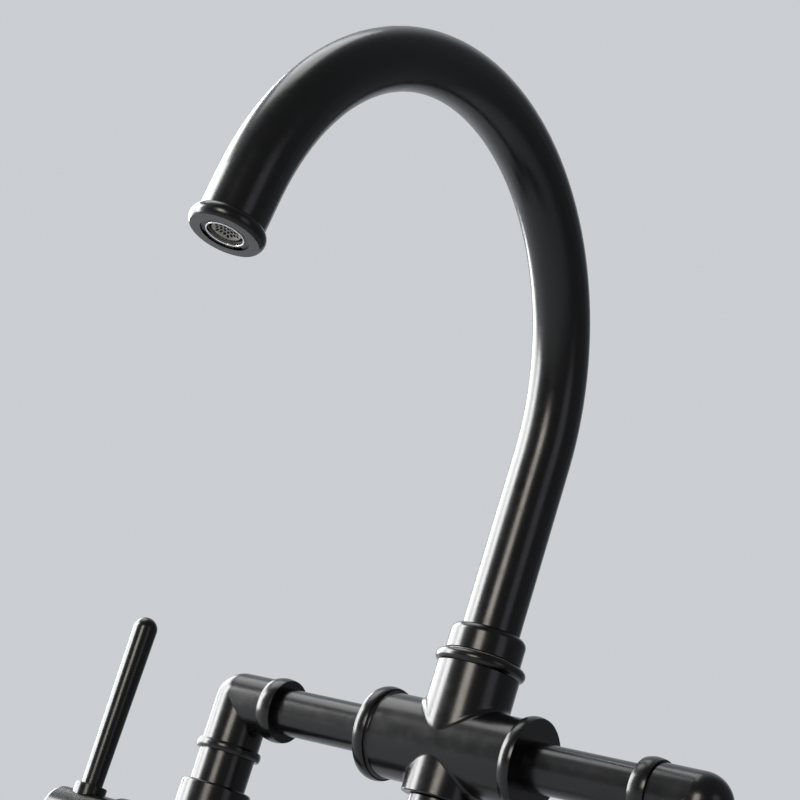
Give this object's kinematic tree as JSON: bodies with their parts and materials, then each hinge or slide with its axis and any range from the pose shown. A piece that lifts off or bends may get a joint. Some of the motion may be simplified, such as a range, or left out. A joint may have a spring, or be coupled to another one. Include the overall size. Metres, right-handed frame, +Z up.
{
  "type": "bridge kitchen faucet",
  "caption": "Matte black bridge faucet for a sink deck: a tall swivelling gooseneck spout with aerator on a cross-shaped bridge between valve columns with upright lever handles.",
  "frame": {"origin": "on the deck's top face, midway between the two deck holes and under the spout's swivel axis", "axes": "+Z up along the spout's swivel axis, +X along the bridge to the user's right, -Y towards the user, where the spout reaches at rest"},
  "size_m": [0.3576, 0.2423, 0.407],
  "materials": {
    "matte_black": "satin black powder coat on brass",
    "brass": "turned brass",
    "steel": "plain stainless",
    "rubber": "moulded black rubber",
    "ceramic_disc": "lapped",
    "black_plastic": "moulded, matte",
    "pale_plastic": "moulded, matte",
    "bright_ring": "plated",
    "hot_mark": "moulded, plain red",
    "cold_mark": "moulded, plain blue"
  },
  "bodies": {
    "bridge": {"bridge_body": "matte_black", "bottom_cap": "matte_black", "cap_o_ring": "rubber", "glide_ring": "pale_plastic", "spout_set_screw": "steel", "bridge_arm_left": "matte_black", "bridge_arm_right": "matte_black", "arm_o_rings": "rubber", "elbow_left": "matte_black", "elbow_right": "matte_black", "elbow_o_rings": "rubber", "valve_body_left": "matte_black", "valve_body_right": "matte_black", "cartridge_body_left": "brass", "cartridge_body_right": "brass", "fixed_disc_left": "ceramic_disc", "fixed_disc_right": "ceramic_disc", "seat_seals": "rubber", "bonnet_left": "matte_black", "bonnet_right": "matte_black", "deck_flange_left": "matte_black", "deck_flange_right": "matte_black", "deck_gaskets": "rubber", "shank_left": "brass", "shank_right": "brass", "under_deck_washers": "rubber", "clamp_washers": "steel", "lock_nuts": "brass"},
    "spout": {"spout_tube": "matte_black", "spout_base_collar": "matte_black", "spout_spigot": "brass", "spout_o_rings": "rubber", "outlet_collar": "matte_black", "aerator_housing": "black_plastic", "aerator_trim_ring": "bright_ring", "aerator_screen": "pale_plastic", "aerator_diffuser": "black_plastic", "aerator_washer": "rubber"},
    "handle_left": {"moving_disc_left": "ceramic_disc", "stem_left": "brass", "stem_o_ring_left": "rubber", "handle_hub_left": "matte_black", "lever_left": "matte_black", "handle_screw_left": "steel", "index_button_left": "hot_mark"},
    "handle_right": {"moving_disc_right": "ceramic_disc", "stem_right": "brass", "stem_o_ring_right": "rubber", "handle_hub_right": "matte_black", "lever_right": "matte_black", "handle_screw_right": "steel", "index_button_right": "cold_mark"}
  },
  "joints": [
    {"name": "spout_swivel", "type": "hinge", "parent": "bridge", "child": "spout", "pos_m": [0, 0, 0.149], "axis": [0, 0, 1], "continuous": true},
    {"name": "hot_handle_turn", "type": "hinge", "parent": "bridge", "child": "handle_left", "pos_m": [-0.1016, 0, 0.058], "axis": [1, 0, 0], "range_deg": [0, 90]},
    {"name": "cold_handle_turn", "type": "hinge", "parent": "bridge", "child": "handle_right", "pos_m": [0.1016, 0, 0.058], "axis": [1, 0, 0], "range_deg": [0, 90]}
  ]
}
